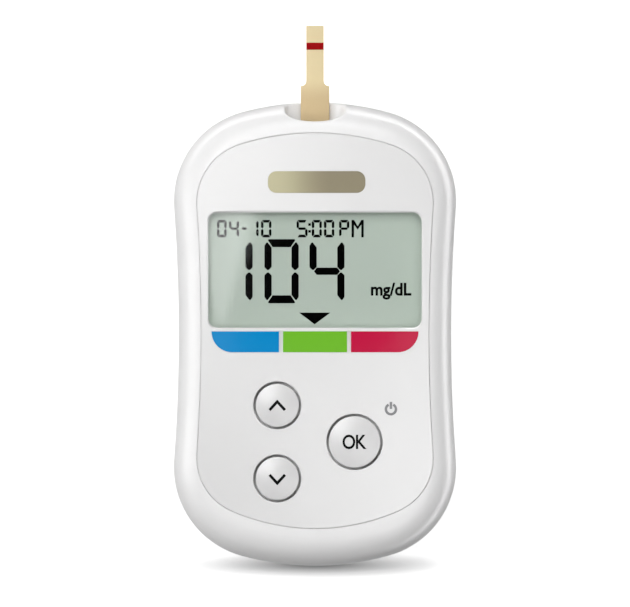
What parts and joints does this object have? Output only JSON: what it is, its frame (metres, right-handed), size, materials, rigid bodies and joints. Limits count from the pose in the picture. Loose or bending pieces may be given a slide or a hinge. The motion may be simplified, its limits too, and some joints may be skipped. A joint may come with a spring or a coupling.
{
  "type": "blood glucose meter",
  "caption": "Hand-held blood glucose meter with an inset faceplate, segment display, round push buttons, test strip port, data port and sliding battery door.",
  "frame": {"origin": "middle of the flat back face", "axes": "+Z out of the display, +Y towards the strip port, +X to the right seen from the front; the meter lies on its back"},
  "size_m": [0.0524, 0.1002, 0.0163],
  "materials": {
    "shell": "glossy white, faint mould texture on the back",
    "key": "glossy white",
    "lens": "clear polycarbonate, polished",
    "blue": "glossy blue",
    "green": "glossy green",
    "red": "glossy red",
    "gold": "satin gold",
    "steel": "bright",
    "spring": "gold plated",
    "board": "green solder mask",
    "chip": "moulded black",
    "ceramic": "satin",
    "glass": "polished",
    "film": "satin grey-green film",
    "frame": "matt white",
    "rubber": "layered, matt",
    "strip": "cream film",
    "ribbon": "woven black"
  },
  "bodies": {
    "housing": {"front_cover": "shell", "faceplate": "shell", "rear_cover": "shell", "low_range_bar": "blue", "in_range_bar": "green", "high_range_bar": "red", "badge": "gold", "display_window": "lens", "up_dome": "steel", "down_dome": "steel", "ok_dome": "steel", "lcd_front_polarizer": "glass", "lcd_front_glass": "glass", "lcd_rear_glass": "glass", "lcd_reflector": "film", "lcd_frame": "frame", "lcd_contact_strip": "rubber", "circuit_board": "board", "processor_chip": "chip", "wireless_module": "steel", "clock_crystal": "steel", "board_passives": "ceramic", "strip_connector": "chip", "strip_contacts": "spring", "data_port": "steel", "data_port_tongue": "chip", "coin_cell": "steel", "battery_positive_contact": "spring", "battery_negative_contact": "spring", "battery_ribbon": "ribbon", "housing_screws": "steel"},
    "up_key": {"up_button": "key"},
    "down_key": {"down_button": "key"},
    "ok_key": {"ok_button": "key"},
    "strip": {"test_strip": "strip"},
    "door": {"battery_door": "shell"}
  },
  "joints": [
    {"name": "up_press", "type": "slide", "parent": "housing", "child": "up_key", "axis": [0, 0, -1], "range_m": [0, 0.0004], "stiffness_N_per_m": 2000, "deforming": ["up_dome"]},
    {"name": "down_press", "type": "slide", "parent": "housing", "child": "down_key", "axis": [0, 0, -1], "range_m": [0, 0.0004], "stiffness_N_per_m": 2000, "deforming": ["down_dome"]},
    {"name": "ok_press", "type": "slide", "parent": "housing", "child": "ok_key", "axis": [0, 0, -1], "range_m": [0, 0.0004], "stiffness_N_per_m": 2000, "deforming": ["ok_dome"]},
    {"name": "strip_slide", "type": "slide", "parent": "housing", "child": "strip", "axis": [0, 1, 0], "range_m": [0, 0.018]},
    {"name": "door_slide", "type": "slide", "parent": "housing", "child": "door", "axis": [0, -1, 0], "range_m": [0, 0.04]}
  ]
}
